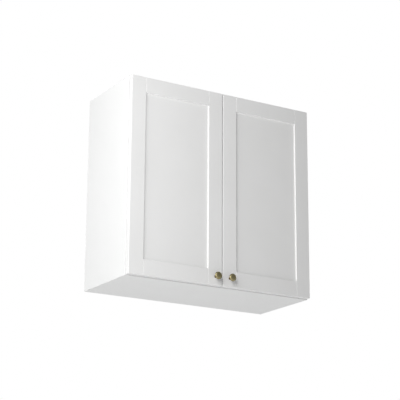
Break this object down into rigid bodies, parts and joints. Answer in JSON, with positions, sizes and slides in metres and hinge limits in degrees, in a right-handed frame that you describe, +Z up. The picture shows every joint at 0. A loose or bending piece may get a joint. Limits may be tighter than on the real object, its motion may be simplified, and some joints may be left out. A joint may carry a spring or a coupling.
{
  "type": "hanging wall cabinet",
  "caption": "Wall-hung storage cabinet with hinged frame-and-panel doors, round knobs, adjustable shelves and hidden wall hangers.",
  "frame": {"origin": "on the wall plane, at the middle of the rear edge of the underside", "axes": "+X right seen from the front, +Y back into the wall, +Z up; the doors face -Y"},
  "size_m": [0.75, 0.3566, 0.72],
  "materials": {
    "carcass_board": "white melamine-faced board, fine satin",
    "back_board": "thin white-faced fibreboard",
    "door_lacquer": "white lacquered fibreboard, satin",
    "aged_brass": "aged antique brass, soft sheen",
    "hinge_nickel": "nickel-plated pressed steel",
    "screw_steel": "zinc-plated screws",
    "zinc_steel": "zinc-plated steel strip",
    "pin_steel": "nickel-plated shelf pins",
    "cam_zinc": "die-cast zinc",
    "dowel_wood": "beech",
    "housing_plastic": "white moulded housing",
    "cover_plastic": "white moulded cover",
    "bumper_plastic": "soft clear bumper"
  },
  "bodies": {
    "carcass": {"arm_screws": "screw_steel", "back_panel": "back_board", "bottom_panel": "carcass_board", "cam_bolts": "screw_steel", "cam_housings": "cam_zinc", "dowels": "dowel_wood", "hanger_adjusters": "zinc_steel", "hanger_cover_left": "cover_plastic", "hanger_cover_right": "cover_plastic", "hanger_hook_left": "zinc_steel", "hanger_hook_right": "zinc_steel", "hanger_housing_left": "housing_plastic", "hanger_housing_right": "housing_plastic", "hanger_screws": "screw_steel", "left_lower_hinge_arm": "hinge_nickel", "left_lower_hinge_plate": "hinge_nickel", "left_upper_hinge_arm": "hinge_nickel", "left_upper_hinge_plate": "hinge_nickel", "lower_shelf": "carcass_board", "plate_screws": "screw_steel", "right_lower_hinge_arm": "hinge_nickel", "right_lower_hinge_plate": "hinge_nickel", "right_upper_hinge_arm": "hinge_nickel", "right_upper_hinge_plate": "hinge_nickel", "shelf_pins": "pin_steel", "side_panel_left": "carcass_board", "side_panel_right": "carcass_board", "top_panel": "carcass_board", "upper_shelf": "carcass_board"},
    "left_door": {"left_bottom_rail": "door_lacquer", "left_bumpers": "bumper_plastic", "left_cup_screws": "screw_steel", "left_door_panel": "door_lacquer", "left_hinge_pins": "hinge_nickel", "left_hinge_stile": "door_lacquer", "left_knob": "aged_brass", "left_knob_screw": "screw_steel", "left_lower_hinge_cup": "hinge_nickel", "left_meeting_stile": "door_lacquer", "left_top_rail": "door_lacquer", "left_upper_hinge_cup": "hinge_nickel"},
    "right_door": {"right_bottom_rail": "door_lacquer", "right_bumpers": "bumper_plastic", "right_cup_screws": "screw_steel", "right_door_panel": "door_lacquer", "right_hinge_pins": "hinge_nickel", "right_hinge_stile": "door_lacquer", "right_knob": "aged_brass", "right_knob_screw": "screw_steel", "right_lower_hinge_cup": "hinge_nickel", "right_meeting_stile": "door_lacquer", "right_top_rail": "door_lacquer", "right_upper_hinge_cup": "hinge_nickel"}
  },
  "joints": [
    {"name": "left_door_hinge", "type": "hinge", "parent": "carcass", "child": "left_door", "pos_m": [-0.3662, -0.3219, 0.36], "axis": [0, 0, -1], "range_deg": [0, 100]},
    {"name": "right_door_hinge", "type": "hinge", "parent": "carcass", "child": "right_door", "pos_m": [0.3662, -0.3219, 0.36], "axis": [0, 0, 1], "range_deg": [0, 100]}
  ]
}
